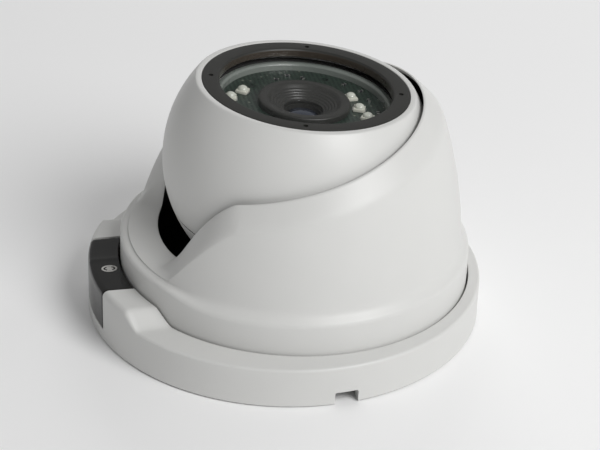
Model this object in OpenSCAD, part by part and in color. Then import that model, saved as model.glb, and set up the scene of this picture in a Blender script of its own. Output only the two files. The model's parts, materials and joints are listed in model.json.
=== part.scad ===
// Ceiling camera of the turret type: a ball-shaped camera head held in a panning shroud on a round base.
// Millimetres, +Z away from the ceiling or wall, origin at the centre of the base's underside.
// The front, with the badge insert and the dip in the shroud's rim, faces -Y.

/* [Base] */
// Radius of the round base
base_r = 61; // [60.9:0.1:61.3]
// Height of the base's outer wall
base_h = 12.7; // [12.5:0.1:12.8]
// Height of the raised front shoulder
shoulder_h = 17.4; // [17.2:0.1:17.6]
// Half width of the flat top of the raised shoulder
shoulder_half_w = 27.5; // [26:0.5:29]
// Half width of the badge insert
insert_half_w = 15.9; // [15:0.1:17]
// Thickness of the base's floor
floor_t = 3; // [2.9:0.1:3]
// Radius of the cable hole in the floor
cable_hole_r = 11; // [9.5:0.1:11]
// Radius of one mounting hole
mount_hole_r = 2.25; // [2:0.05:2.4]
// Diameter of the circle through the mounting holes
mount_pcd = 80; // [79:0.5:81]

/* [Shroud] */
// How far the pan axis lies behind the base's centre
pan_y = 3; // [2.9:0.1:3.2]
// Outer radius of the shroud's collar
collar_r = 54; // [53.9:0.05:54.1]
// Height of the collar's top edge
collar_h = 22.2; // [22:0.1:22.6]
// Height of the rim beside the ball
rim_side_z = 60.5; // [60:0.1:61]
// Slope of the rim, low at the front and high at the back
rim_slope = 0.28; // [0.27:0.01:0.29]
// Height of the bottom of the front dip
dip_z = 26.6; // [26.5:0.1:27]
// Width of the bevelled band below the rim
band_w = 6; // [5.5:0.1:6.2]

/* [Ball] */
// Height of the ball's turning centre
ball_z = 48.8; // [48.7:0.05:48.9]
// Outer radius of the ball
ball_r = 41; // [40.9:0.05:41.05]
// Distance from the turning centre to the ball's flat face
face_w = 25; // [24.9:0.05:25.1]
// Backward lean of the lens axis at rest, in degrees
rest_lean = 4.4; // [4.2:0.1:4.5]
// Outer radius of the black front bezel
bezel_r = 31.2; // [31.1:0.05:31.3]
// Inner radius of the black front bezel
bezel_inner_r = 26; // [25.5:0.1:26.2]

/* [Lens] */
// Outer radius of the lens barrel
barrel_r = 6.9; // [6.8:0.05:6.9]
// Outer radius of the funnel-shaped baffle around the lens
baffle_r = 13.9; // [13.5:0.1:14]
// Travel of the filter switch
filter_travel = 5.5; // [5.3:0.1:5.5]

/* [Hidden] */
$fn = 96;

white = "#e4e4e0";
black = "#1d1d1c";
brass = "#b49a52";
steel = "#b8babd";
board_green = "#1e2a24";
pad_grey = "#8d9088";
clear_glass = [0.75, 0.8, 0.82, 0.35];

// Base
skirt_inner_r = base_r - 2.5;
top_plate_under = 10.8;
bore_r = collar_r + 0.5;
insert_gap = 0.12;
insert_bottom = 4;
insert_plate_t = 2.2;
insert_top_t = 2;
cable_slot_y = 6.4;
cable_slot_w = 7.1;
cable_slot_h = 4.1;
hub_r = 17;
hub_top = 5.4;
ring_top = 6.6;
ring_screw_r = 14;
mount_angles = [90, 210, 330];

// Shroud and carrier
steps = 72;
collar_bottom = 7;
flange_r = collar_r - 0.4;
flange_bottom = 5.2;
carrier_bottom = 3.6;
carrier_in_r = 43.1;
carrier_out_r = 44.5;
boss_circle_r = 50.6;
rim_r = 43;
dip_start = 23.6;
dip_end = 54.9;
nose_rise = 2.2;

// Ball
split_w = -16;
split_gap = 0.5;
ball_lift = 0.8;
ball_in_r = ball_r - 2.4;
ledge_w = 19.9;
glass_r = 29.5;
glass_w = 20.6;
glass_t = 1.75;
bezel_under = 22.4;
cradle_in_r = 41.3;
cradle_out_r = 42.65;
pin_r = 2.5;
housing_screw_r = 30;

// Boards, from the lens towards the cable
board_w = 17;
board_t = 1.3;
bracket_w = 8;
bracket_t = 1.5;
sensor_board_w = -11.2;
sensor_board_t = 1.4;
main_board_w = -20.6;
main_board_t = 1.6;
stack = 13;
led_spots = [[-8.6, -17.2], [-4.1, -21.7], [-4.3, 15.4], [3.4, 16.3], [9.5, 17.4]];
sensor_spot = [-13.2, -13.4];

// Rim and wall of the shroud. The angle phi is counted from the front.
function rim_radius(z) = z > ball_z ? sqrt(rim_r * rim_r - pow(z - ball_z, 2)) : rim_r - 0.03 * (ball_z - z);
function dip_run(phi) = (phi - dip_start) / (dip_end - dip_start);
function dip_ease(t) = 1 - pow(1 - min(1, (t + sqrt(t * t + 0.004)) / 2), 1.6);
function plain_rim(phi) = rim_side_z - rim_slope * 39 * cos(phi);
function rim_z(phi) = dip_z + (plain_rim(phi) - dip_z) * dip_ease(dip_run(phi));
function fold(phi) = phi < 0 ? -phi : phi > 180 ? 360 - phi : phi;
function band_z(phi) = min([for (d = [-1 : 0.25 : 1])
    rim_z(fold(phi + d * band_w * 1.35)) - band_w * sqrt(1 - d * d)]);
function wall_r(z) = 51.5 - 0.05 * (z - 25) - 0.0037 * pow(z - 25, 2);
function wall_t(z) = z < 44 ? 2.3 : z > 50 ? 1.5 : 2.3 - 0.8 * (z - 44) / 6;
function between(a, b, t) = a + (b - a) * t;
function nose_run(phi) = max(0, min(1, (52 - phi) / 22));
function nose(phi) = nose_run(phi) * nose_run(phi) * (3 - 2 * nose_run(phi));

function shroud_profile(phi) =
    let (top = rim_z(phi))
    let (low = max(band_z(phi), 25.2))
    let (flare = low - 1.7)
    let (edge = collar_h + nose_rise * nose(phi))
    concat(
        [[collar_r, collar_bottom], [collar_r, edge - 0.6], [collar_r - 0.35, edge + 0.1]],
        [[collar_r - 1.2, edge + 0.5]],
        [for (t = [0 : 0.25 : 1]) let (z = between(25, low, t)) [wall_r(z), z]],
        [[between(wall_r(low), rim_radius(top) + 0.6, 0.5), between(low, top - 0.2, 0.5)]],
        [[rim_radius(top) + 0.6, top - 0.2], [rim_radius(top), top]],
        [[rim_radius(top - 1.8) + 0.1, top - 1.8]],
        [for (t = [0 : 0.5 : 1]) let (z = between(flare, 23.2, t)) [wall_r(z) - wall_t(z), z]],
        [[collar_r - 2, 21.5], [collar_r - 2, collar_bottom]]);

module about_pan() {
    translate([0, pan_y, 0]) children();
}

module in_ball() {
    translate([0, pan_y, ball_z]) rotate([-rest_lean, 0, 0]) children();
}

module ring(outer, inner, from, to) {
    translate([0, 0, from]) difference() {
        cylinder(r = outer, h = to - from);
        translate([0, 0, -1]) cylinder(r = inner, h = to - from + 2);
    }
}

module spots(radius, angles) {
    for (a = angles) rotate([0, 0, a]) translate([radius, 0, 0]) children();
}

module corners(half) {
    for (x = [-half, half], y = [-half, half]) translate([x, y, 0]) children();
}

// A pan-head screw standing on its head, with the shank pointing up
module screw(head_r, head_h, shank_r, length) {
    difference() {
        cylinder(r = head_r, h = head_h);
        translate([-head_r * 0.6, -0.25, -1]) cube([head_r * 1.2, 0.5, 1.5]);
        translate([-0.25, -head_r * 0.6, -1]) cube([0.5, head_r * 1.2, 1.5]);
    }
    translate([0, 0, head_h]) cylinder(r = shank_r, h = length);
}

module base_outline(top, inset) {
    rotate_extrude() polygon([[0, 0], [base_r - 0.4, 0], [base_r, 0.4], [base_r, top - 1 - inset],
        [base_r - 0.5 * inset - 0.2, top - 0.4 - 0.4 * inset], [base_r - 1 - inset, top], [0, top]]);
}

module mount_holes(radius, height) {
    spots(mount_pcd / 2, mount_angles) translate([0, 0, -1]) cylinder(r = radius, h = height);
}

module front_shoulder() {
    intersection() {
        base_outline(shoulder_h, 0.8);
        rotate([90, 0, 0]) linear_extrude(base_r + 1)
            polygon([[-shoulder_half_w - 5.5, top_plate_under], [shoulder_half_w + 5.5, top_plate_under],
                [shoulder_half_w + 5.5, base_h - 0.4], [shoulder_half_w, shoulder_h + 0.1],
                [-shoulder_half_w, shoulder_h + 0.1], [-shoulder_half_w - 5.5, base_h - 0.4]]);
    }
}

module insert_space(gap) {
    half = insert_half_w + gap;
    translate([-half, -base_r - 1, insert_bottom - gap]) difference() {
        cube([2 * half, 30, shoulder_h]);
        translate([half, base_r + 1, -1])
            cylinder(r = base_r - insert_plate_t - gap, h = shoulder_h - insert_top_t - insert_bottom + 1);
    }
}

module pedestal() {
    color(white) difference() {
        union() {
            difference() {
                union() {
                    base_outline(base_h, 0);
                    front_shoulder();
                    translate([0, 0, base_h - 0.1]) rotate_extrude()
                        polygon([[0, 0], [base_r - 1, 0], [base_r - 8, 0.6], [0, 0.6]]);
                }
                translate([0, 0, floor_t]) cylinder(r = skirt_inner_r, h = top_plate_under - floor_t);
                about_pan() translate([0, 0, floor_t]) cylinder(r = bore_r, h = 20);
            }
            about_pan() translate([0, 0, 1]) cylinder(r = hub_r, h = hub_top - 1);
            intersection() {
                translate([-insert_half_w - 3, -base_r + 1, 1]) cube([2 * insert_half_w + 6, 5, 12]);
                cylinder(r = base_r - 1, h = 14);
            }
            intersection() {
                translate([-base_r, -5, 1]) cube([5, 10, 11]);
                cylinder(r = base_r - 1, h = 14);
            }
        }
        insert_space(insert_gap);
        about_pan() translate([0, 0, -1]) cylinder(r = cable_hole_r, h = 10);
        mount_holes(mount_hole_r, 6);
        translate([0, cable_slot_y - cable_slot_w / 2, -1]) cube([base_r + 1, cable_slot_w, 3]);
        translate([29, cable_slot_y - cable_slot_w / 2, -1]) cube([base_r, cable_slot_w, cable_slot_h + 1]);
        ring(57, 54, -1, 1.02);
        about_pan() spots(ring_screw_r, [30, 150, 270]) translate([0, 0, 2.2]) cylinder(r = 1.05, h = 6);
        translate([-base_r - 1, 0, 8]) rotate([0, 90, 0]) cylinder(r = 1.55, h = 12);
    }
}

module badge_insert() {
    color(black) difference() {
        intersection() {
            base_outline(shoulder_h, 0.8);
            insert_space(0);
        }
        about_pan() translate([0, 0, -1]) cylinder(r = bore_r + 0.1, h = 30);
    }
}

module badge_emblem() {
    color(pad_grey) translate([3, -55.2, shoulder_h]) {
        difference() {
            scale([0.75, 1, 1]) cylinder(r = 2.4, h = 0.2);
            translate([0, 0, -1]) scale([0.75, 1, 1]) cylinder(r = 1.8, h = 2);
        }
        cylinder(r = 0.5, h = 0.2);
    }
}

module base_gasket() {
    color(black) difference() {
        ring(56.9, 54.1, 0, 1);
        translate([0, cable_slot_y - cable_slot_w / 2 - 0.3, -1]) cube([base_r, cable_slot_w + 0.6, 4]);
    }
}

module pan_slip_washer() {
    color("#d8d6cc") about_pan() ring(27, 22, floor_t, carrier_bottom);
}

module retaining_ring() {
    color(steel) about_pan() difference() {
        ring(21, cable_hole_r + 0.5, hub_top, ring_top);
        spots(ring_screw_r, [30, 150, 270]) translate([0, 0, hub_top - 1]) cylinder(r = 1.35, h = 4);
    }
}

module retaining_screws() {
    color(steel) about_pan() spots(ring_screw_r, [30, 150, 270])
        translate([0, 0, ring_top + 0.65]) rotate([180, 0, 0]) screw(1.9, 0.65, 1, 4.2);
}

module pan_lock_screw() {
    color(steel) translate([-base_r + 0.6, 0, 8]) rotate([0, 90, 0]) difference() {
        cylinder(r = 1.5, h = 5.4);
        translate([0, 0, -0.5]) cylinder(r = 0.75, h = 2, $fn = 6);
    }
}

module pan_carrier() {
    color(black) difference() {
        about_pan() union() {
            rotate_extrude() polygon([[hub_r + 0.06, carrier_bottom], [46.5, carrier_bottom],
                [48.2, flange_bottom], [flange_r, flange_bottom], [flange_r, flange_bottom + 1.7],
                [48.2, flange_bottom + 1.7], [47.7, 25], [carrier_out_r, ball_z], [carrier_in_r, ball_z],
                [46.3, 25], [46.6, 8], [45.6, flange_bottom], [hub_r + 0.06, flange_bottom]]);
            translate([0, 0, ball_z]) rotate_extrude() intersection() {
                difference() {
                    circle(r = carrier_out_r);
                    circle(r = carrier_in_r);
                }
                translate([30, -0.01]) square([20, 8.4]);
            }
        }
        about_pan() translate([0, 0, rim_side_z - 6.5]) rotate([atan(rim_slope), 0, 0])
            translate([-60, -60, 0]) cube([120, 120, 40]);
        about_pan() translate([0, -20, 0]) rotate([90, 0, 0]) linear_extrude(40)
            polygon([[-30, 21], [30, 21], [38, 38], [47, 38], [47, 60], [-47, 60], [-47, 38], [-38, 38]]);
        mount_holes(4.4, 12);
        about_pan() spots(boss_circle_r, [45 : 90 : 315]) cylinder(r = 1.3, h = 12);
        translate([-60, pan_y, ball_z]) rotate([0, 90, 0]) cylinder(r = pin_r + 0.06, h = 120);
    }
}

module shroud() {
    rows = [for (k = [0 : steps - 1]) shroud_profile(fold(k * 360 / steps))];
    n = len(rows[0]);
    points = [for (k = [0 : steps - 1], p = rows[k])
        [p[0] * sin(k * 360 / steps), pan_y - p[0] * cos(k * 360 / steps), p[1]]];
    faces = [for (k = [0 : steps - 1], j = [0 : n - 1])
        let (a = k * n + j, b = k * n + (j + 1) % n)
        let (c = ((k + 1) % steps) * n + (j + 1) % n, d = ((k + 1) % steps) * n + j)
        each [[a, b, c], [a, c, d]]];
    color(white) polyhedron(points, faces, convexity = 6);
}

module shroud_mount_ring() {
    color(black) about_pan() difference() {
        ring(collar_r - 2.1, 49.2, collar_bottom, 14);
        spots(boss_circle_r, [45 : 90 : 315]) translate([0, 0, collar_bottom - 1]) cylinder(r = 1, h = 6.6);
    }
}

module shroud_screws() {
    color(steel) about_pan() spots(boss_circle_r, [45 : 90 : 315])
        translate([0, 0, flange_bottom - 1.5]) screw(2.5, 1.5, 0.95, 7);
}

module cradle_shell(outer, inner) {
    rotate_extrude() intersection() {
        difference() {
            circle(r = outer);
            circle(r = inner);
        }
        translate([0, -60]) square([60, 120]);
    }
}

module cradle() {
    color(black) in_ball() difference() {
        intersection() {
            cradle_shell(cradle_out_r, cradle_in_r);
            union() {
                translate([-50, -50, -39.8]) cube([100, 100, 5]);
                translate([-50, -5.5, -35.5]) cube([100, 11, 35.5]);
                translate([-50, 0, 0]) rotate([0, 90, 0]) cylinder(r = 5.5, h = 100);
            }
        }
        translate([-60, 0, 0]) rotate([0, 90, 0]) cylinder(r = pin_r, h = 120);
    }
}

module tilt_pins() {
    color(steel) in_ball() for (side = [0, 180]) rotate([0, 0, side])
        translate([41.4, 0, 0]) rotate([0, 90, 0]) cylinder(r = pin_r, h = 3);
}

module glide_pads() {
    color("#c8c6bc") in_ball() for (a = [45 : 90 : 315]) rotate([0, 0, a]) rotate([0, 148, 0])
        translate([0, 0, 40.6]) cylinder(r = 2.5, h = 0.6);
}

module ball_arc(radius) {
    intersection() {
        translate([0, ball_lift]) circle(r = radius);
        translate([0, -50]) square([60, 100]);
    }
}

module ball_front_housing() {
    color(white) in_ball() difference() {
        union() {
            rotate_extrude() difference() {
                intersection() {
                    ball_arc(ball_r);
                    translate([0, split_w]) square([50, face_w - split_w]);
                }
                intersection() {
                    ball_arc(ball_in_r);
                    translate([0, split_w - 1]) square([50, 19 - split_w]);
                }
                square([26.9, 40]);
                translate([0, ledge_w]) square([glass_r + 0.15, 20]);
                translate([0, bezel_under - 0.05]) square([bezel_r + 0.1, 20]);
            }
            spots(housing_screw_r, [45 : 90 : 315]) {
                translate([0, 0, split_w]) cylinder(r = 3.8, h = 11);
                translate([0, -1.5, split_w]) cube([6.8, 3, 9]);
            }
            spots(32, [30, 150, 270]) translate([0, 0, bracket_w + bracket_t]) cylinder(r = 3, h = 9);
        }
        spots(housing_screw_r, [45 : 90 : 315]) translate([0, 0, split_w - 1]) cylinder(r = 1.5, h = 10);
        spots(32, [30, 150, 270]) translate([0, 0, bracket_w]) cylinder(r = 1.25, h = 7);
    }
}

module ball_rear_housing() {
    color(white) in_ball() difference() {
        union() {
            rotate_extrude() intersection() {
                difference() {
                    ball_arc(ball_r);
                    ball_arc(ball_in_r);
                }
                translate([0, -50]) square([50, 50 + split_w - split_gap]);
            }
            intersection() {
                spots(housing_screw_r, [45 : 90 : 315]) translate([0, 0, -40])
                    cylinder(r = 4.2, h = 40 + split_w - split_gap);
                translate([0, 0, ball_lift]) sphere(r = ball_r);
            }
        }
        spots(housing_screw_r, [45 : 90 : 315]) translate([0, 0, -40]) cylinder(r = 1.7, h = 30);
        spots(housing_screw_r, [45 : 90 : 315]) translate([0, 0, -40]) cylinder(r = 2.8, h = 19.3);
        translate([0, 0, -50]) cylinder(r = 6.05, h = 30);
    }
}

module ball_seal() {
    color(black) in_ball() ring(37, 35, split_w - split_gap, split_w);
}

module housing_screws() {
    color(steel) in_ball() spots(housing_screw_r, [45 : 90 : 315])
        translate([0, 0, -22.4]) screw(2.6, 1.7, 1.45, 13);
}

module front_bezel() {
    color(black) in_ball() difference() {
        rotate_extrude() polygon([[bezel_inner_r, bezel_under], [bezel_r, bezel_under],
            [bezel_r, face_w - 0.3], [bezel_r - 0.3, face_w], [bezel_inner_r + 0.3, face_w],
            [bezel_inner_r, face_w - 0.3]]);
        spots(28.5, [-12.5 : 90 : 257.5]) translate([0, 0, face_w - 1.4]) cylinder(r = 0.75, h = 3);
    }
}

module window_glass() {
    color(clear_glass) in_ball() translate([0, 0, glass_w]) cylinder(r = glass_r, h = glass_t);
}

module window_gasket() {
    color(black) in_ball() ring(29.3, 27.3, ledge_w, glass_w);
}

module spacer_sleeve() {
    color(pad_grey) in_ball() ring(26.75, 24.9, 14.5, glass_w - 0.1);
}

module ir_board() {
    color(board_green) in_ball() difference() {
        ring(24.75, 9.5, board_w, board_w + board_t);
        spots(21, [30, 150, 270]) translate([0, 0, board_w - 1]) cylinder(r = 1.1, h = 4);
    }
}

module at_leds() {
    in_ball() translate([0, 0, board_w + board_t]) for (p = led_spots) translate(p) children();
}

module ir_led_packages() {
    color("#d9d8c8") at_leds() difference() {
        translate([-1.75, -1.75, 0]) cube([3.5, 3.5, 1]);
        translate([0, 0, 0.5]) cylinder(r = 1.35, h = 2);
    }
}

module ir_led_lenses() {
    color([0.85, 0.87, 0.85, 0.6]) at_leds() {
        translate([0, 0, 0.5]) cylinder(r = 1.3, h = 0.5);
        intersection() {
            translate([0, 0, 0.3]) sphere(r = 1.62);
            translate([-2, -2, 1]) cube([4, 4, 2]);
        }
    }
}

module light_sensor() {
    color(clear_glass) in_ball() translate([sensor_spot[0], sensor_spot[1], board_w + board_t]) {
        cylinder(r = 1.2, h = 0.8);
        translate([0, 0, 0.8]) cylinder(r = 0.9, h = 0.7);
    }
}

module lens_baffle() {
    color(black) in_ball() rotate_extrude() polygon([[9.3, board_w + board_t + 0.02],
        [baffle_r, board_w + board_t + 0.02], [baffle_r, 19.9], [baffle_r - 0.5, 20.4], [10.6, 20.4],
        [6.3, 17.4], [6.3, 16.2], [9.3, 16.2]]);
}

module lens_front_glass() {
    color(clear_glass) in_ball() intersection() {
        translate([0, 0, 13]) cylinder(r = 5.4, h = 4);
        translate([0, 0, 7.2]) sphere(r = 9.2);
    }
}

module lens_barrel() {
    color(black) in_ball() difference() {
        translate([0, 0, -1]) cylinder(r = barrel_r, h = 17);
        translate([0, 0, 12.9]) cylinder(r = 5.45, h = 4);
        translate([0, 0, 3]) cylinder(r = 4, h = 20);
        translate([0, 0, -2]) cylinder(r = 3.2, h = 8);
    }
}

module lens_lock_ring() {
    color(black) in_ball() ring(9, barrel_r + 0.02, 4.6, 6.6);
}

module lens_holder() {
    color(black) in_ball() difference() {
        union() {
            translate([0, 0, -5]) cylinder(r = 9, h = 9.4);
            translate([-10.5, -10.5, -5]) cube([21, 21, 2]);
        }
        translate([0, 0, -3]) cylinder(r = barrel_r + 0.02, h = 20);
        translate([0, 0, -6]) cylinder(r = 4, h = 20);
    }
}

module filter_housing() {
    color("#2b2b2d") in_ball() difference() {
        translate([-10.5, -9, -9.7]) cube([21, 18, 4.6]);
        translate([-9.3, -4.6, -7.9]) cube([19.6, 9.2, 1.5]);
        translate([0, 0, -12]) cylinder(r = 4, h = 20);
        translate([-5.4, -5, -9.8]) cube([10.8, 10, 1.5]);
    }
}

module filter_carrier() {
    color("#6d6f73") in_ball() difference() {
        translate([-9.1, -4.4, -7.7]) cube([13.2, 8.8, 1.1]);
        for (x = [0, -filter_travel]) translate([x, 0, -8]) cylinder(r = 2.5, h = 4);
    }
}

module filter_pane(x) {
    in_ball() translate([x, 0, -7.5]) cylinder(r = 2.45, h = 0.7);
}

module ir_cut_filter() {
    color([0.4, 0.7, 0.75, 0.5]) filter_pane(0);
}

module clear_filter() {
    color(clear_glass) filter_pane(-filter_travel);
}

module sensor_board() {
    color(board_green) in_ball() translate([0, 0, sensor_board_w]) difference() {
        translate([-16, -16, 0]) cube([32, 32, sensor_board_t]);
        corners(stack) translate([0, 0, -1]) cylinder(r = 1.1, h = 4);
    }
}

module image_sensor() {
    color("#34363c") in_ball() translate([-4.9, -4.5, sensor_board_w + sensor_board_t]) cube([9.8, 9, 1.2]);
}

module module_bracket() {
    color(steel) in_ball() translate([0, 0, bracket_w]) difference() {
        union() {
            cylinder(r = 26, h = bracket_t);
            spots(32, [30, 150, 270]) cylinder(r = 3.6, h = bracket_t);
            spots(24, [30, 150, 270]) translate([0, -3.6, 0]) cube([8, 7.2, bracket_t]);
        }
        translate([0, 0, -1]) cylinder(r = 9.4, h = 4);
        spots(32, [30, 150, 270]) translate([0, 0, -1]) cylinder(r = 1.35, h = 4);
        spots(21, [30, 150, 270]) translate([0, 0, -1]) cylinder(r = 1.1, h = 4);
        corners(stack) translate([0, 0, -1]) cylinder(r = 1.1, h = 4);
    }
}

module bracket_screws() {
    color(steel) in_ball() spots(32, [30, 150, 270])
        translate([0, 0, bracket_w - 1.2]) screw(2.2, 1.2, 1.2, 7);
}

module ir_board_spacers() {
    color(brass) in_ball() spots(21, [30, 150, 270]) {
        ring(2, 1.05, bracket_w + bracket_t, board_w);
    }
}

module board_standoffs() {
    color(brass) in_ball() corners(stack) {
        ring(2.2, 1.05, sensor_board_w + sensor_board_t, bracket_w);
        ring(2.2, 1.05, main_board_w + main_board_t, sensor_board_w);
    }
}

module board_screws() {
    color(steel) in_ball() corners(stack) {
        translate([0, 0, main_board_w - 1.2]) screw(2, 1.2, 1, 6);
        translate([0, 0, bracket_w + bracket_t + 1.2]) rotate([180, 0, 0]) screw(2, 1.2, 1, 6);
    }
}

module main_board() {
    color(board_green) in_ball() translate([0, 0, main_board_w]) difference() {
        cylinder(r = 24.6, h = main_board_t);
        corners(stack) translate([0, 0, -1]) cylinder(r = 1.1, h = 4);
    }
}

module board_chips() {
    color("#232326") in_ball() {
        translate([-7, -6, main_board_w - 1.4]) cube([12, 12, 1.4]);
        translate([-3.5, 9, main_board_w - 1]) cube([8, 6, 1]);
        translate([7.5, -4, main_board_w - 1]) cube([5, 8, 1]);
        translate([-8, -17, main_board_w + main_board_t]) cube([6, 5, 1]);
    }
}

module board_connectors() {
    color("#e2dfd0") in_ball() {
        translate([-18, -4, main_board_w + main_board_t]) cube([4, 8, 5]);
        translate([14.5, -3, main_board_w + main_board_t]) cube([4, 6, 4]);
        translate([-4, -20, main_board_w - 4]) cube([10, 4, 4]);
    }
}

module cable_gland() {
    color(black) in_ball() difference() {
        union() {
            translate([0, 0, -40.2]) cylinder(r = 6, h = 7.2);
            translate([0, 0, -33]) cylinder(r = 4.6, h = 3);
        }
        translate([0, 0, -41]) cylinder(r = 2.4, h = 14);
    }
}

module gland_nut() {
    color(steel) in_ball() difference() {
        translate([0, 0, -36.8]) cylinder(r = 8.6, h = 2.6, $fn = 6);
        translate([0, 0, -38]) cylinder(r = 6.02, h = 5);
    }
}

pedestal();
badge_insert();
badge_emblem();
base_gasket();
pan_slip_washer();
retaining_ring();
retaining_screws();
pan_lock_screw();
pan_carrier();
shroud();
shroud_mount_ring();
shroud_screws();
cradle();
tilt_pins();
glide_pads();
ball_front_housing();
ball_rear_housing();
ball_seal();
housing_screws();
front_bezel();
window_glass();
window_gasket();
spacer_sleeve();
ir_board();
ir_led_packages();
ir_led_lenses();
light_sensor();
lens_baffle();
lens_front_glass();
lens_barrel();
lens_lock_ring();
lens_holder();
filter_housing();
filter_carrier();
ir_cut_filter();
clear_filter();
sensor_board();
image_sensor();
module_bracket();
bracket_screws();
ir_board_spacers();
board_standoffs();
board_screws();
main_board();
board_chips();
board_connectors();
cable_gland();
gland_nut();
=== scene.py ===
"""Looks of a turret-type ceiling camera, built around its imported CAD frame.

Lengths in the making of a shape are millimetres; mm() turns them into metres.
"""
import json
import math
import random

import bmesh
import bpy
from mathutils import Matrix, Vector


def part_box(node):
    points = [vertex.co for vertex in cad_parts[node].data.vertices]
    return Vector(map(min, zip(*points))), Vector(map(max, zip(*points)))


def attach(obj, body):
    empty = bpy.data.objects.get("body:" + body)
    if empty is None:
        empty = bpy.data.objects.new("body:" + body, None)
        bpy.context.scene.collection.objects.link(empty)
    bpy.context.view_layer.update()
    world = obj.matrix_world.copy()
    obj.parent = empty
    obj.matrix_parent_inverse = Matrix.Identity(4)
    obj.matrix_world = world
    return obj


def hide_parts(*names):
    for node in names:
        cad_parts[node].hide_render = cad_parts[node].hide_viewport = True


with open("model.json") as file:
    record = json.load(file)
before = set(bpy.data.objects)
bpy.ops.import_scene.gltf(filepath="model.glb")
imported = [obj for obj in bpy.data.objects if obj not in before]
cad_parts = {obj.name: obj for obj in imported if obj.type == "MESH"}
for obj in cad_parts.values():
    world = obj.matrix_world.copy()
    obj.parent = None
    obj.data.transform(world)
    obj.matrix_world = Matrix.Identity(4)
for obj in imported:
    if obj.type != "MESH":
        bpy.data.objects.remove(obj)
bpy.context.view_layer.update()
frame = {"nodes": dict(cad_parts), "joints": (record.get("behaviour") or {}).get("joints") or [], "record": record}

MM = 0.001
RNG = random.Random(7)


def mm(x):
    return x * MM


def joint(name):
    return next(j for j in frame["joints"] if j["name"] == name)


def span(node, axis):
    """Lowest and highest coordinate of a CAD node along an axis, in millimetres."""
    low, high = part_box(node)
    return low[axis] / MM, high[axis] / MM


# Driving dimensions, read from the frame
BASE_R = span("pedestal", 0)[1]
SHOULDER_H = span("pedestal", 2)[1]
COLLAR_R = (span("shroud", 0)[1] - span("shroud", 0)[0]) / 2
PAN_Y = joint("tilt")["pos_m"][1] / MM
BALL_Z = joint("tilt")["pos_m"][2] / MM
BALL_R = span("ball_front_housing", 0)[1]
INSERT_HALF = span("badge_insert", 0)[1]
INSERT_BOTTOM = span("badge_insert", 2)[0]
BEZEL_R = span("front_bezel", 0)[1]
LENS_AXIS = Vector(joint("spin")["axis"]).normalized()
BALL_FRAME = Matrix.Translation((0, mm(PAN_Y), mm(BALL_Z))) @ Matrix.Rotation(
    -math.atan2(LENS_AXIS.y, LENS_AXIS.z), 4, "X")

# The rest of the design, the same figures as the CAD model's
BASE_H = 12.7
RIM_SIDE_Z = 60.5
RIM_SLOPE = 0.28
DIP_Z = 26.6
DIP_START, DIP_END = 23.6, 54.9
BAND_W = 6.0
RIM_R = 43.0
COLLAR_H = 22.2
NOSE_RISE = 2.2
COLLAR_BOTTOM = 7.0
BORE_R = COLLAR_R + 0.5
SHOULDER_HALF = 27.5
FACE_W = 25.0
BEZEL_INNER_R = 26.0
BEZEL_UNDER = 22.4
BALL_LIFT = 0.8
SPLIT_W = -16
SEAT_W = 19.9
BEZEL_HOLES = 4
BEZEL_HOLE_PHASE = -12.5
BEZEL_HOLE_CIRCLE = 28.5
CABLE_SLOT_Y = 6.4
CABLE_SLOT_HALF = 3.55
MOUNT_CIRCLE = 40
MOUNT_HOLE_R = 2.25
MOUNT_ANGLES = (90, 210, 330)


# ---------------------------------------------------------------- materials

def new_material(name):
    material = bpy.data.materials.new(name)
    material.use_nodes = True
    nodes = material.node_tree.nodes
    return material, nodes, material.node_tree.links, nodes["Principled BSDF"]


def object_coordinates(nodes):
    return nodes.new("ShaderNodeTexCoord").outputs["Object"]


def noise(nodes, links, scale, detail=3.0, roughness=0.5):
    node = nodes.new("ShaderNodeTexNoise")
    node.inputs["Scale"].default_value = scale
    node.inputs["Detail"].default_value = detail
    node.inputs["Roughness"].default_value = roughness
    links.new(object_coordinates(nodes), node.inputs["Vector"])
    return node.outputs["Fac"]


def map_range(nodes, links, value, low, high, from_low=0.3, from_high=0.7):
    node = nodes.new("ShaderNodeMapRange")
    node.inputs["From Min"].default_value = from_low
    node.inputs["From Max"].default_value = from_high
    node.inputs["To Min"].default_value = low
    node.inputs["To Max"].default_value = high
    links.new(value, node.inputs["Value"])
    return node.outputs["Result"]


def tint(nodes, links, value, dark, light):
    """Mixes two colours by a value; each colour is three numbers or another node's output."""
    node = nodes.new("ShaderNodeMix")
    node.data_type = "RGBA"
    links.new(value, node.inputs[0])
    for socket, colour in ((node.inputs[6], dark), (node.inputs[7], light)):
        if isinstance(colour, tuple):
            socket.default_value = (*colour, 1)
        else:
            links.new(colour, socket)
    return node.outputs[2]


def bump(nodes, links, shader, height, strength, distance):
    node = nodes.new("ShaderNodeBump")
    node.inputs["Strength"].default_value = strength
    node.inputs["Distance"].default_value = distance
    links.new(height, node.inputs["Height"])
    links.new(node.outputs["Normal"], shader.inputs["Normal"])


def surface(name, dark, light, rough, grain, strength, distance, coat=0.0, metallic=0.0, variation=60):
    """A solid finish: soft colour variation, roughness variation and a fine surface texture."""
    material, nodes, links, shader = new_material(name)
    patches = noise(nodes, links, variation, 4)
    links.new(tint(nodes, links, patches, dark, light), shader.inputs["Base Color"])
    links.new(map_range(nodes, links, patches, rough[0], rough[1]), shader.inputs["Roughness"])
    shader.inputs["Metallic"].default_value = metallic
    shader.inputs["Coat Weight"].default_value = coat
    shader.inputs["Coat Roughness"].default_value = 0.08
    bump(nodes, links, shader, noise(nodes, links, grain, 2), strength, distance)
    return material


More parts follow.
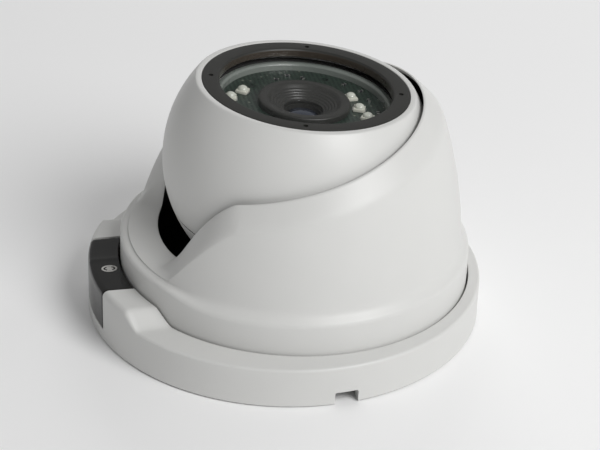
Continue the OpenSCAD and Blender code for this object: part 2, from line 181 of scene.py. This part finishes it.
def clear_window():
    """Thin coated glass that lets nearly all light through."""
    material, nodes, links, shader = new_material("window_clear")
    wipe = noise(nodes, links, 60, 2)
    links.new(map_range(nodes, links, wipe, 0.03, 0.06), shader.inputs["Roughness"])
    shader.inputs["Base Color"].default_value = (0.93, 0.95, 0.94, 1)
    shader.inputs["Metallic"].default_value = 1.0
    shader.inputs["Alpha"].default_value = 0.02
    return material


def coated_lens():
    """Front element: dark glass under a bluish coat, with slow patches of tone."""
    material, nodes, links, shader = new_material("coated_lens")
    patches = noise(nodes, links, 90, 1)
    shade = tint(nodes, links, patches, (0.010, 0.012, 0.016), (0.02, 0.022, 0.03))
    links.new(shade, shader.inputs["Base Color"])
    shader.inputs["Roughness"].default_value = 0.03
    shader.inputs["Coat Weight"].default_value = 1.0
    shader.inputs["Coat Roughness"].default_value = 0.02
    shader.inputs["Coat Tint"].default_value = (0.72, 0.8, 1.0, 1)
    shader.inputs["Specular Tint"].default_value = (0.7, 0.85, 1.0, 1)
    return material


def solder_mask():
    """Very dark green board: copper traces under the mask and plated vias, the traces slightly raised."""
    material, nodes, links, shader = new_material("solder_mask")
    place = nodes.new("ShaderNodeTexCoord")
    traces = nodes.new("ShaderNodeTexBrick")
    traces.inputs["Scale"].default_value = 160
    traces.inputs["Mortar Size"].default_value = 0.06
    traces.inputs["Mortar Smooth"].default_value = 0.2
    traces.inputs["Row Height"].default_value = 0.22
    traces.inputs["Brick Width"].default_value = 0.9
    links.new(place.outputs["Object"], traces.inputs["Vector"])
    vias = nodes.new("ShaderNodeTexVoronoi")
    vias.inputs["Scale"].default_value = 330
    vias.inputs["Randomness"].default_value = 0.75
    links.new(place.outputs["Object"], vias.inputs["Vector"])
    ring = map_range(nodes, links, vias.outputs["Distance"], 1.0, 0.0, 0.10, 0.16)
    mask = tint(nodes, links, traces.outputs["Fac"], (0.008, 0.019, 0.013), (0.017, 0.034, 0.024))
    plated = tint(nodes, links, ring, mask, (0.16, 0.17, 0.14))
    links.new(plated, shader.inputs["Base Color"])
    links.new(map_range(nodes, links, traces.outputs["Fac"], 0.38, 0.28, 0, 1), shader.inputs["Roughness"])
    bump(nodes, links, shader, traces.outputs["Fac"], 0.25, 0.00003)
    return material


def silicone():
    """Milky clear silicone over the infrared diodes."""
    material, nodes, links, shader = new_material("led_silicone")
    cloud = noise(nodes, links, 700, 2)
    links.new(tint(nodes, links, cloud, (0.62, 0.64, 0.56), (0.86, 0.88, 0.8)), shader.inputs["Base Color"])
    shader.inputs["Roughness"].default_value = 0.12
    shader.inputs["Alpha"].default_value = 0.75
    shader.inputs["Coat Weight"].default_value = 0.8
    shader.inputs["Coat Roughness"].default_value = 0.05
    return material


def make_materials():
    made = {
        "white_coat": surface(
            "white_coat", (0.62, 0.62, 0.605), (0.65, 0.65, 0.635), (0.38, 0.46), 1300, 0.10, 0.00005),
        # Painted shade: a black finish for the white shroud's inner faces, which lie in shadow.
        "painted_shade_black": surface(
            "painted_shade_black", (0.010, 0.011, 0.010), (0.018, 0.019, 0.018), (0.5, 0.65), 1500, 0.25, 0.00006),
        "black_gloss": surface(
            "black_gloss", (0.006, 0.006, 0.005), (0.010, 0.010, 0.009), (0.10, 0.17), 500, 0.04, 0.00004),
        "mark_grey": surface(
            "mark_grey", (0.42, 0.41, 0.39), (0.55, 0.54, 0.52), (0.35, 0.5), 2500, 0.2, 0.00003),
        "gasket_rubber": surface(
            "gasket_rubber", (0.012, 0.012, 0.012), (0.022, 0.022, 0.022), (0.6, 0.75), 1800, 0.3, 0.00005),
        "slip_nylon": surface(
            "slip_nylon", (0.66, 0.65, 0.60), (0.74, 0.73, 0.68), (0.4, 0.5), 900, 0.15, 0.00004),
        "zinc_steel": surface(
            "zinc_steel", (0.48, 0.49, 0.50), (0.62, 0.63, 0.64), (0.25, 0.42),
            1200, 0.15, 0.00003, metallic=1.0),
        "black_nylon": surface(
            "black_nylon", (0.012, 0.013, 0.012), (0.022, 0.023, 0.022), (0.45, 0.6), 1600, 0.3, 0.00005),
        "black_bezel": surface(
            "black_bezel", (0.018, 0.018, 0.016), (0.026, 0.026, 0.023), (0.36, 0.46), 2200, 0.22, 0.00004),
        # The bezel's own dark tone plus a painted bronze reflection, for its inner wall.
        "bezel_wall_painted_reflection": surface(
            "bezel_wall_painted_reflection", (0.035, 0.028, 0.022), (0.075, 0.062, 0.05), (0.2, 0.3),
            1500, 0.1, 0.00003, coat=0.4),
        "sleeve_grey": surface(
            "sleeve_grey", (0.13, 0.15, 0.135), (0.24, 0.26, 0.24), (0.2, 0.32), 900, 0.2, 0.00005, coat=0.3),
        "led_ceramic": surface(
            "led_ceramic", (0.55, 0.55, 0.47), (0.70, 0.70, 0.62), (0.3, 0.4), 2000, 0.2, 0.00003),
        "carrier_grey": surface(
            "carrier_grey", (0.15, 0.15, 0.16), (0.22, 0.22, 0.23), (0.4, 0.5), 1500, 0.2, 0.00004),
        "chip_epoxy": surface(
            "chip_epoxy", (0.018, 0.018, 0.02), (0.03, 0.03, 0.033), (0.45, 0.55), 3000, 0.25, 0.00003),
        "connector_nylon": surface(
            "connector_nylon", (0.66, 0.63, 0.54), (0.76, 0.73, 0.64), (0.4, 0.5), 1500, 0.15, 0.00003),
        "brass_spacer": surface(
            "brass_spacer", (0.55, 0.42, 0.18), (0.68, 0.54, 0.26), (0.25, 0.38),
            900, 0.1, 0.00003, metallic=1.0),
        "tinned": surface(
            "tinned", (0.5, 0.5, 0.48), (0.65, 0.65, 0.62), (0.25, 0.4), 2500, 0.3, 0.00004, metallic=1.0),
        "sensor_die": surface(
            "sensor_die", (0.03, 0.032, 0.05), (0.06, 0.065, 0.09), (0.08, 0.14),
            1500, 0.02, 0.00002, coat=1.0),
        "window_clear": clear_window(),
        "coated_lens": coated_lens(),
        "solder_mask": solder_mask(),
        "led_silicone": silicone(),
    }
    made["filter_tint"] = surface(
        "filter_tint", (0.10, 0.22, 0.24), (0.16, 0.3, 0.32), (0.05, 0.1), 500, 0.02, 0.00002, coat=1.0)
    return made


MATERIALS = make_materials()


# ------------------------------------------------------------- mesh helpers

def clamp(x, low=0.0, high=1.0):
    return max(low, min(high, x))


def between(a, b, t):
    return a + (b - a) * t


def soft_max(a, b, width):
    return (a + b + math.sqrt((a - b) ** 2 + width * width)) / 2


def soft_step(u, softness=0.02):
    """A ramp from 0 to 1 with its two corners rounded."""
    return (u + math.sqrt(u * u + softness) - (u - 1) - math.sqrt((u - 1) ** 2 + softness)) / 2


def fillet(corners, steps=5):
    """Rounds a closed outline of (x, y, radius) corners, each with a curve of steps + 1 points."""
    outline = []
    count = len(corners)
    for i, (x, y, radius) in enumerate(corners):
        if radius <= 0:
            outline.append((x, y))
            continue
        ends = []
        for j in (i - 1, (i + 1) % count):
            dx, dy = corners[j][0] - x, corners[j][1] - y
            length = max(math.hypot(dx, dy), 1e-6)
            reach = min(radius, 0.48 * length)
            ends.append((x + dx / length * reach, y + dy / length * reach))
        for k in range(steps + 1):
            t = k / steps
            a, b, c = (1 - t) ** 2, 2 * t * (1 - t), t * t
            outline.append((a * ends[0][0] + b * x + c * ends[1][0], a * ends[0][1] + b * y + c * ends[1][1]))
    return outline


def finish_mesh(name, points, faces, material, body, angle=38):
    """A mesh object in metres from points in millimetres, shaded smooth up to an angle, riding on a body."""
    mesh = bpy.data.meshes.new(name)
    mesh.from_pydata([tuple(mm(c) for c in p) for p in points], [], faces)
    piece = bpy.data.objects.new(name, mesh)
    bpy.context.scene.collection.objects.link(piece)
    tidy = bmesh.new()
    tidy.from_mesh(mesh)
    bmesh.ops.remove_doubles(tidy, verts=tidy.verts, dist=1e-6)
    bmesh.ops.recalc_face_normals(tidy, faces=tidy.faces)
    tidy.to_mesh(mesh)
    tidy.free()
    smooth(piece, angle)
    if material:
        mesh.materials.append(MATERIALS[material])
    if body:
        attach(piece, body)
    return piece


def smooth(piece, angle=38):
    piece.data.shade_smooth()
    piece.data.set_sharp_from_angle(angle=math.radians(angle))


def rings(rows):
    """Faces between closed rows of points, the last row meeting the first."""
    count = len(rows[0])
    faces = []
    for k in range(len(rows)):
        for j in range(count):
            a, b = k * count + j, k * count + (j + 1) % count
            step = ((k + 1) % len(rows)) * count
            faces.append((a, step + j, step + (j + 1) % count, b))
    return faces


def loft(name, outline_at, centre_y, segments, material, body):
    """Turns an outline of (radius, height), which changes with the angle from the front, about Z."""
    rows = []
    for k in range(segments):
        phi = k * 360 / segments
        s, c = math.sin(math.radians(phi)), math.cos(math.radians(phi))
        rows.append([(r * s, centre_y - r * c, z) for r, z in outline_at(phi)])
    return finish_mesh(name, [p for row in rows for p in row], rings(rows), material, body)


def lathe(name, corners, material, segments=144, steps=4, body="camera_ball", place=None):
    """A turned piece about the lens axis, from (radius, distance along the axis, rounding) corners."""
    outline = fillet(corners, steps)
    rows = []
    for k in range(segments):
        a = math.radians(k * 360 / segments)
        rows.append([(r * math.cos(a), r * math.sin(a), w) for r, w in outline])
    piece = finish_mesh(name, [p for row in rows for p in row], rings(rows), material, None)
    piece.data.transform(BALL_FRAME if place is None else place)
    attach(piece, body)
    return piece


def arc(centre_w, radius, start, end, count):
    """Points of a circle round (0, centre_w), from and to an axis distance, with no rounding."""
    return [(math.sqrt(radius ** 2 - (w - centre_w) ** 2), w, 0)
            for w in (between(start, end, i / (count - 1)) for i in range(count))]


def solid_box(name, low, high, place=None):
    """A plain box used only to cut other pieces."""
    mesh = bpy.data.meshes.new(name)
    maker = bmesh.new()
    bmesh.ops.create_cube(maker, size=1)
    for v in maker.verts:
        v.co = Vector(mm(between(low[i], high[i], v.co[i] + 0.5)) for i in range(3))
    if place is not None:
        bmesh.ops.transform(maker, matrix=place, verts=maker.verts)
    maker.to_mesh(mesh)
    maker.free()
    return bpy.data.objects.new(name, mesh)


def solid_rod(name, radius, low, high, place, sides=40):
    """A plain rod along the local Z axis used only to cut other pieces."""
    mesh = bpy.data.meshes.new(name)
    maker = bmesh.new()
    bmesh.ops.create_cone(maker, cap_ends=True, segments=sides, radius1=mm(radius), radius2=mm(radius),
                          depth=mm(high - low))
    bmesh.ops.translate(maker, vec=(0, 0, mm((low + high) / 2)), verts=maker.verts)
    bmesh.ops.transform(maker, matrix=place, verts=maker.verts)
    maker.to_mesh(mesh)
    maker.free()
    return bpy.data.objects.new(name, mesh)


def cut(piece, cutters, operation="DIFFERENCE"):
    """Cuts pieces out of a mesh and leaves the result as its own mesh."""
    for cutter in cutters:
        bpy.context.scene.collection.objects.link(cutter)
        modifier = piece.modifiers.new("cut", "BOOLEAN")
        modifier.operation = operation
        modifier.solver = "EXACT"
        modifier.object = cutter
        graph = bpy.context.evaluated_depsgraph_get()
        result = bpy.data.meshes.new_from_object(piece.evaluated_get(graph))
        piece.modifiers.clear()
        old = piece.data
        piece.data = result
        bpy.data.meshes.remove(old)
        bpy.data.objects.remove(cutter)
    smooth(piece)


def at(x, y, z=0.0, turn=0.0):
    return Matrix.Translation((mm(x), mm(y), mm(z))) @ Matrix.Rotation(math.radians(turn), 4, "Z")


# ------------------------------------------------------------ shroud's shape

def rim_radius(z):
    if z > BALL_Z:
        return math.sqrt(RIM_R ** 2 - (z - BALL_Z) ** 2)
    return RIM_R - 0.03 * (BALL_Z - z)


def dip_ease(phi):
    t = (phi - DIP_START) / (DIP_END - DIP_START)
    return 1 - (1 - min(1.0, (t + math.sqrt(t * t + 0.004)) / 2)) ** 1.6


def rim_height(phi):
    phi = abs((phi + 180) % 360 - 180)
    plain = RIM_SIDE_Z - RIM_SLOPE * 39 * math.cos(math.radians(phi))
    return DIP_Z + (plain - DIP_Z) * dip_ease(phi)


def band_height(phi):
    """Lower edge of the bevelled band: the rim's line moved inwards by the band's width."""
    steps = [i / 20 for i in range(-20, 21)]
    return min(rim_height(phi + d * BAND_W * 1.35) - BAND_W * math.sqrt(1 - d * d) for d in steps)


def wall_radius(z):
    return 51.5 - 0.05 * (z - 25) - 0.0037 * (z - 25) ** 2


def collar_edge(phi):
    """Height of the collar's top edge, which rises where the front runs down from the dip."""
    phi = abs((phi + 180) % 360 - 180)
    run = clamp((52 - phi) / 22)
    return COLLAR_H + NOSE_RISE * run * run * (3 - 2 * run)


def shroud_outline(phi):
    top = rim_height(phi)
    low = soft_max(band_height(phi), 25.6, 1.2)
    inner = wall_radius(low - 1.7) - (1.5 if low > 50 else 2.3)
    corners = [(COLLAR_R, COLLAR_BOTTOM, 0.4), (COLLAR_R, collar_edge(phi) + 0.4, 1.1)]
    corners += [(wall_radius(25), 25.1, 1.6)]
    corners += [(wall_radius(z), z, 0) for z in (between(25.3, low, t) for t in (0.25, 0.5, 0.75, 0.9))]
    corners += [(wall_radius(low), low, 2.6), (rim_radius(top) + 0.75, top - 0.1, 0.7)]
    corners += [(rim_radius(top), top - 0.1, 0.3)]
    corners += [(rim_radius(top - 1.8) + 0.1, top - 1.8, 0.4), (inner, low - 1.7, 0.5)]
    corners += [(wall_radius(23.2) - 2.3, 23.2, 0), (COLLAR_R - 2, 21.5, 0), (COLLAR_R - 2, COLLAR_BOTTOM, 0)]
    return fillet(corners, 6)


def make_shroud():
    piece = loft("shroud_shell", shroud_outline, PAN_Y, 540, "white_coat", "pan_shroud")
    # The shell's inner faces below the rim get the black finish: painted shade for the white shroud's shadowed
    # inside.
    piece.data.materials.append(MATERIALS["painted_shade_black"])
    axis_y = mm(PAN_Y)
    for face in piece.data.polygons:
        c = face.center
        outward = face.normal.x * c.x + face.normal.y * (c.y - axis_y)
        inside = math.hypot(c.x, c.y - axis_y) < mm(COLLAR_R - 1) and outward < 0
        phi = math.degrees(math.atan2(c.x, axis_y - c.y))
        in_shade = abs(phi) < DIP_END or c.z < mm(rim_height(phi) - 1.7)
        if inside and in_shade and face.normal.z < 0.35:
            face.material_index = 1
    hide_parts("shroud")
    return piece


# ----------------------------------------------------------------- the base

def from_origin(radius, centre_y, phi):
    """Distance from the origin, at an angle from the front, to a circle centred behind the origin."""
    c = -math.cos(math.radians(phi))
    return centre_y * c + math.sqrt(radius ** 2 - (centre_y * math.sin(math.radians(phi))) ** 2)


def shoulder(x, y):
    """How far up the front shoulder a point lies: 0 on the ring, 1 on the shoulder's flat top."""
    return soft_step((SHOULDER_HALF + 5.2 - abs(x)) / 5.2, 0.012) if y < 0 else 0.0


def land_height(r, phi):
    """Height of the base's top at a distance from the origin."""
    x, y = r * math.sin(math.radians(phi)), -r * math.cos(math.radians(phi))
    ring = BASE_H + 0.6 * clamp((BASE_R - 1 - r) / 6)
    return max(ring, between(ring, SHOULDER_H, shoulder(x, y)))


def base_outline(phi):
    rise = shoulder(BASE_R * math.sin(math.radians(phi)), -BASE_R * math.cos(math.radians(phi)))
    corner = between(0.9, 2.0, clamp(rise))
    bore = from_origin(BORE_R, PAN_Y, phi)
    hole = from_origin(11, PAN_Y, phi)
    hub = from_origin(17, PAN_Y, phi)
    outline = [(hole, 0), (54, 0), (54, 1.02), (57, 1.02), (57, 0), (BASE_R - 0.4, 0), (BASE_R, 0.4)]
    top = land_height(BASE_R - corner, phi)
    outline += [(BASE_R, between(0.4, top - corner, t)) for t in (0.25, 0.5, 0.75)]
    for i in range(8):
        a = math.radians(90 * i / 7)
        outline.append((BASE_R - corner + corner * math.cos(a), top - corner + corner * math.sin(a)))
    edge = BASE_R - corner
    for t in (0.15, 0.3, 0.45, 0.6, 0.75, 0.9):
        r = between(edge, bore + 0.35, t)
        outline.append((r, land_height(r, phi)))
    lip = land_height(bore + 0.35, phi)
    outline += [(bore + 0.35, lip), (bore + 0.1, lip - 0.1), (bore, lip - 0.35), (bore, 10.8)]
    outline += [(BASE_R - 2.5, 10.8), (BASE_R - 2.5, 3), (hub, 3), (hub, 5.4), (hole, 5.4)]
    return outline


def make_base():
    piece = loft("base_housing", base_outline, 0.0, 720, "white_coat", "root")
    gap = 0.14
    slot_low, slot_high = CABLE_SLOT_Y - CABLE_SLOT_HALF, CABLE_SLOT_Y + CABLE_SLOT_HALF
    pocket = solid_box("pocket", (-INSERT_HALF - gap, -BASE_R - 2, INSERT_BOTTOM - gap),
                       (INSERT_HALF + gap, -BASE_R + 16, 30))
    notch = solid_box("notch", (29, slot_low, -1), (BASE_R + 2, slot_high, 4.1))
    bevel_cutter(notch, 0.6)
    channel = solid_box("channel", (0, slot_low, -1), (30, slot_high, 2))
    holes = []
    for angle in MOUNT_ANGLES:
        a = math.radians(angle)
        place = at(MOUNT_CIRCLE * math.cos(a), MOUNT_CIRCLE * math.sin(a))
        holes.append(solid_rod("hole", MOUNT_HOLE_R, -1, 6, place))
    grub = solid_rod("grub", 1.55, 0, 12, at(-BASE_R - 1, 0, 8) @ Matrix.Rotation(math.radians(90), 4, "Y"))
    cut(piece, [pocket, notch, channel, *holes, grub])
    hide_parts("pedestal")
    return piece


def bevel_cutter(cutter, radius):
    maker = bmesh.new()
    maker.from_mesh(cutter.data)
    edges = [e for e in maker.edges if abs((e.verts[0].co - e.verts[1].co).normalized().x) > 0.9]
    bmesh.ops.bevel(maker, geom=edges, offset=mm(radius), segments=4, affect="EDGES", profile=0.5)
    maker.to_mesh(cutter.data)
    maker.free()


def make_insert():
    """Gloss plate: a folded strip over the shoulder's top and down the wall, with softened edges."""
    columns = 56
    rows = []
    ridge_x = -3.0
    for i in range(columns + 1):
        x = between(-INSERT_HALF, INSERT_HALF, i / columns)
        edge = INSERT_HALF - abs(x)
        sink = 0.35 * (1 - clamp(edge / 0.5)) ** 2
        fold = 0.16 * math.exp(-abs(x - ridge_x) / 1.2) - 0.02 * clamp((x - ridge_x) / 10)
        outer = math.sqrt((BASE_R - sink) ** 2 - x * x)
        inner = math.sqrt((BORE_R + 0.15) ** 2 - x * x) - PAN_Y
        top = SHOULDER_H - 0.12 - sink + fold - 0.12
        corners = [(inner, top - 1.8, 0), (inner, top, 0.3), (outer, top, 2.0), (outer, INSERT_BOTTOM, 0.3),
                   (outer - 2, INSERT_BOTTOM, 0), (outer - 2, top - 1.8, 0.6)]
        rows.append([(x, -d, z) for d, z in fillet(corners, 8)])
    count = len(rows[0])
    faces = [f for f in rings(rows) if max(f) - min(f) < count * 2]
    faces += [tuple(range(count)), tuple(range(count * columns, count * (columns + 1)))]
    points = [p for row in rows for p in row]
    piece = finish_mesh("badge_plate", points, faces, "black_gloss", "root")
    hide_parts("badge_insert")
    return piece


# ----------------------------------------------------------------- the head

def make_ball():
    lip_r = math.sqrt(BALL_R ** 2 - (FACE_W - BALL_LIFT) ** 2)
    corners = arc(BALL_LIFT, BALL_R, SPLIT_W, FACE_W - 0.5, 72)
    corners += [(lip_r - 0.05, FACE_W, 0.55), (BEZEL_R + 0.12, FACE_W, 0.3)]
    corners += [(BEZEL_R + 0.12, BEZEL_UNDER - 0.05, 0)]
    corners += [(29.65, BEZEL_UNDER - 0.05, 0), (29.65, SEAT_W, 0), (26.9, SEAT_W, 0), (26.9, 18, 0)]
    corners += arc(BALL_LIFT, BALL_R - 2.4, 18, SPLIT_W, 24)
    piece = lathe("ball_front_shell", corners, "white_coat", 240)
    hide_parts("ball_front_housing")
    return piece


def make_bezel():
    corners = [(BEZEL_INNER_R, BEZEL_UNDER, 0.2), (BEZEL_R, BEZEL_UNDER, 0), (BEZEL_R, FACE_W, 0.35),
               (BEZEL_INNER_R + 0.5, FACE_W, 0.25), (BEZEL_INNER_R, FACE_W - 0.5, 0.25)]
    piece = lathe("bezel_ring", corners, "black_bezel", 240, 4)
    holes = []
    for k in range(BEZEL_HOLES):
        a = math.radians(BEZEL_HOLE_PHASE + 90 * k)
        place = BALL_FRAME @ at(BEZEL_HOLE_CIRCLE * math.cos(a), BEZEL_HOLE_CIRCLE * math.sin(a))
        holes.append(solid_rod("hole", 0.75, FACE_W - 1.4, FACE_W + 1, place, 24))
    cut(piece, holes)
    # The inner wall gets the bronze-toned finish: the wall's dark tone with a painted reflection.
    piece.data.materials.append(MATERIALS["bezel_wall_painted_reflection"])
    back = BALL_FRAME.inverted()
    for face in piece.data.polygons:
        c = back @ face.center
        n = back.to_3x3() @ face.normal
        if math.hypot(c.x, c.y) < mm(BEZEL_INNER_R + 0.05) and abs(n.z) < 0.3:
            face.material_index = 1
    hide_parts("front_bezel")
    return piece


def make_sleeve():
    corners = [(24.9, 14.5, 0), (26.75, 14.5, 0), (26.75, 20.5, 0.2), (25.5, 20.5, 0.2), (24.9, 19.9, 0.2)]
    piece = lathe("window_spacer", corners, "sleeve_grey", 180, 3)
    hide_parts("spacer_sleeve")
    return piece


def make_baffle():
    corners = [(9.3, 18.33, 0), (13.9, 18.33, 0.1), (13.9, 20.1, 0.35), (13.2, 20.4, 0.3), (11.2, 20.4, 0.5)]
    corners += [(10.4, 19.7, 0.4)]
    for i in range(5):
        r = between(9.9, 6.6, i / 4)
        w = between(19.2, 17.2, i / 4)
        corners += [(r, w, 0.08), (r - 0.55, w - 0.12, 0.08)]
    corners += [(6.0, 16.3, 0.1), (9.3, 16.3, 0)]
    piece = lathe("lens_hood", corners, "black_bezel", 160, 3)
    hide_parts("lens_baffle")
    return piece


def make_lens_front():
    corners = [(0.001, 13.0, 0), (5.35, 13.0, 0.2), (5.35, 14.4, 0.3)]
    corners += [(5.0 * math.cos(a), 14.5 + 1.7 * math.sin(a), 0)
                for a in (math.radians(90 * i / 12) for i in range(13))]
    corners[-1] = (0.001, 16.2, 0)
    piece = lathe("front_element", corners, "coated_lens", 96, 4)
    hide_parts("lens_front_glass")
    return piece


def led_places():
    """Where the frame's diodes stand, in the ball's frame: the centre of each loose part of their mesh."""
    back = BALL_FRAME.inverted()
    maker = bmesh.new()
    maker.from_mesh(frame["nodes"]["ir_led_packages"].data)
    bmesh.ops.remove_doubles(maker, verts=maker.verts, dist=1e-6)
    left, places = set(maker.verts), []
    while left:
        queue = [left.pop()]
        group = []
        while queue:
            v = queue.pop()
            group.append(back @ v.co)
            for e in v.link_edges:
                other = e.other_vert(v)
                if other in left:
                    left.remove(other)
                    queue.append(other)
        low = Vector(min(p[i] for p in group) for i in range(3))
        high = Vector(max(p[i] for p in group) for i in range(3))
        places.append(((low.x + high.x) / 2 / MM, (low.y + high.y) / 2 / MM, low.z / MM))
    maker.free()
    return sorted(places)


def join(pieces, name, body, slot, *nodes):
    """Joins pieces into one that rides on a body and stands for CAD nodes."""
    for piece in pieces:
        piece.parent = None
    bpy.ops.object.select_all(action="DESELECT")
    for piece in pieces:
        piece.select_set(True)
    bpy.context.view_layer.objects.active = pieces[0]
    bpy.ops.object.join()
    joined = pieces[0]
    joined.name = name
    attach(joined, body)
    if nodes:
        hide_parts(*nodes)
    return joined


def block(size, material, place, bevel=0.15):
    """A small moulded block with bevelled edges, standing on the local XY plane."""
    mesh = bpy.data.meshes.new("block")
    maker = bmesh.new()
    bmesh.ops.create_cube(maker, size=1)
    for v in maker.verts:
        v.co = Vector((mm(v.co.x * size[0]), mm(v.co.y * size[1]), mm((v.co.z + 0.5) * size[2])))
    bmesh.ops.bevel(maker, geom=maker.edges[:], offset=mm(bevel), segments=2, affect="EDGES", profile=0.5)
    bmesh.ops.transform(maker, matrix=place, verts=maker.verts)
    maker.to_mesh(mesh)
    maker.free()
    piece = bpy.data.objects.new("block", mesh)
    bpy.context.scene.collection.objects.link(piece)
    mesh.materials.append(MATERIALS[material])
    smooth(piece, 30)
    return piece


def make_leds():
    packages, lenses = [], []
    for x, y, w in led_places():
        turn = math.degrees(math.atan2(y, x)) + RNG.uniform(-8, 8)
        place = BALL_FRAME @ at(x, y, w, turn)
        packages.append(block((3.5, 3.5, 0.95), "led_ceramic", place, 0.12))
        for side in (-1, 1):
            packages.append(block((0.5, 2.6, 0.35), "tinned", place @ at(side * 1.85, 0), 0.05))
        dome = [(0.001, 0.9, 0), (1.55, 0.9, 0.1), (1.55, 1.15, 0.1)]
        dome += [(1.5 * math.cos(a), 1.15 + 1.05 * math.sin(a), 0)
                 for a in (math.radians(90 * i / 9) for i in range(10))]
        dome[-1] = (0.001, 2.2, 0)
        lenses.append(lathe("dome", dome, "led_silicone", 40, 2, place=place))
    join(packages, "diode_packages", "camera_ball", "led_ceramic", "ir_led_packages")
    join(lenses, "diode_domes", "camera_ball", "led_silicone", "ir_led_lenses")


def make_board_parts():
    """Small chip resistors, capacitors and solder pads on the infrared board."""
    parts = []
    surface_w = span_w("ir_board")[1]
    spots = [(-18.5, 3.5, 20), (-17.6, -5.0, 75), (15.2, -15.8, 45), (19.6, -8.6, 15), (20.6, 3.0, 90),
             (-14.2, 15.6, 130), (-9.6, 19.8, 110), (16.4, 13.6, 40), (2.6, -20.4, 0), (8.2, -19.6, 20),
             (-20.5, -1.0, 90), (17.8, -2.6, 90), (6.0, 21.5, 170), (-2.8, 20.8, 5)]
    for x, y, turn in spots:
        place = BALL_FRAME @ at(x, y, surface_w, turn)
        parts.append(block((1.0, 0.8, 0.5), "chip_epoxy", place, 0.05))
        for side in (-1, 1):
            parts.append(block((0.35, 0.85, 0.52), "tinned", place @ at(side * 0.62, 0), 0.05))
    return join(parts, "board_small_parts", "camera_ball", "chip_epoxy")


def span_w(node):
    """Lowest and highest distance of a CAD node along the lens axis, in millimetres."""
    back = BALL_FRAME.inverted()
    heights = [(back @ v.co).z / MM for v in frame["nodes"][node].data.vertices]
    return min(heights), max(heights)


def make_emblem():
    """A plain raised mark: an oval ring round a small drop shape."""
    low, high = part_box("badge_emblem")
    cx, cy, z = (low.x + high.x) / 2 / MM, (low.y + high.y) / 2 / MM, SHOULDER_H - 0.24
    half_x, half_y = (high.x - low.x) / 2 / MM, (high.y - low.y) / 2 / MM
    rows = []
    for k in range(48):
        a = math.radians(k * 7.5)
        c, s = math.cos(a), math.sin(a)
        section = fillet([(1.0, z, 0), (1.0, z + 0.2, 0.06), (0.78, z + 0.2, 0.06), (0.78, z, 0)], 2)
        rows.append([(cx + half_x * q * c, cy + half_y * q * s, h) for q, h in section])
    ring = finish_mesh("ring", [p for row in rows for p in row], rings(rows), "mark_grey", None)
    bars = [block((0.5, width, 0.42), "mark_grey", at(cx + x, cy, z - 0.2), 0.05)
            for x, width in ((-0.75, 1.5), (0, 2.4), (0.75, 1.5))]
    return join([ring, *bars], "badge_mark", "root", "mark_grey", "badge_emblem")


def dress_frame():
    """Every CAD node that shows keeps its shape and gets its finish."""
    slots = {row["node"]: row["material_slot"] for row in frame["record"]["subparts"]}
    for name, node in frame["nodes"].items():
        node.data.materials.clear()
        node.data.materials.append(MATERIALS[slots[name]])
        smooth(node, 30)


# --------------------------------------------------------- stage and camera

def make_camera():
    data = bpy.data.cameras.new("camera")
    data.sensor_width = 36
    data.lens = 116.4
    data.clip_start, data.clip_end = 0.01, 50
    camera = bpy.data.objects.new("camera", data)
    bpy.context.scene.collection.objects.link(camera)
    azimuth, elevation, roll = (math.radians(a) for a in (77.0, 29.35, 2.14))
    back = Vector((math.sin(azimuth) * math.cos(elevation), -math.cos(azimuth) * math.cos(elevation),
                   math.sin(elevation)))
    right = Vector((0, 0, 1)).cross(back).normalized()
    up = back.cross(right)
    tilted_right = right * math.cos(roll) + up * math.sin(roll)
    tilted_up = up * math.cos(roll) - right * math.sin(roll)
    target = Vector((0.001, 0.00434, 0.0263))
    camera.matrix_world = Matrix.Translation(target + back * 0.6) @ Matrix(
        (tilted_right, tilted_up, back)).transposed().to_4x4()
    bpy.context.scene.camera = camera


def studio_light(name, azimuth, elevation, power, mirrored=True):
    """A round soft light 1.2 m from the camera's base; azimuth 0 is in front of it, 90 on its +X side.

    A light that isn't mirrored only fills the shadows and shows in no glossy surface.
    """
    data = bpy.data.lights.new(name, "AREA")
    data.shape = "DISK"
    data.size = 0.7
    data.energy = power
    a, e = math.radians(azimuth), math.radians(elevation)
    away = Vector((math.sin(a) * math.cos(e), -math.cos(a) * math.cos(e), math.sin(e)))
    light = bpy.data.objects.new(name, data)
    light.location = Vector((0, 0, 0.03)) + 1.2 * away
    light.visible_glossy = mirrored
    light.rotation_euler = away.to_track_quat("Z", "Y").to_euler()
    bpy.context.scene.collection.objects.link(light)


def make_stage():
    material, nodes, links, shader = new_material("floor")
    shader.inputs["Base Color"].default_value = (0.92, 0.92, 0.92, 1)
    shader.inputs["Roughness"].default_value = 0.9
    shader.inputs["Specular IOR Level"].default_value = 0.1
    mesh = bpy.data.meshes.new("floor")
    half, z = 4, -0.0002
    corners = [(-half, -half, z), (half, -half, z), (half, half, z), (-half, half, z)]
    mesh.from_pydata(corners, [], [(0, 1, 2, 3)])
    mesh.materials.append(material)
    floor = bpy.data.objects.new("floor", mesh)
    bpy.context.scene.collection.objects.link(floor)
    world = bpy.data.worlds.new("studio")
    bpy.context.scene.world = world
    world.use_nodes = True
    world.node_tree.nodes["Background"].inputs["Color"].default_value = (1, 1, 1, 1)
    world.node_tree.nodes["Background"].inputs["Strength"].default_value = 0.3
    studio_light("key", 122, 40, 10.2)
    studio_light("left", 257, 12, 6, mirrored=False)
    studio_light("back", 212, 12, 2.5, mirrored=False)
    bpy.context.scene.view_settings.view_transform = "Standard"


make_camera()
make_stage()
dress_frame()
make_base()
make_insert()
make_emblem()
make_shroud()
make_ball()
make_bezel()
make_sleeve()
make_baffle()
make_lens_front()
make_leds()
make_board_parts()
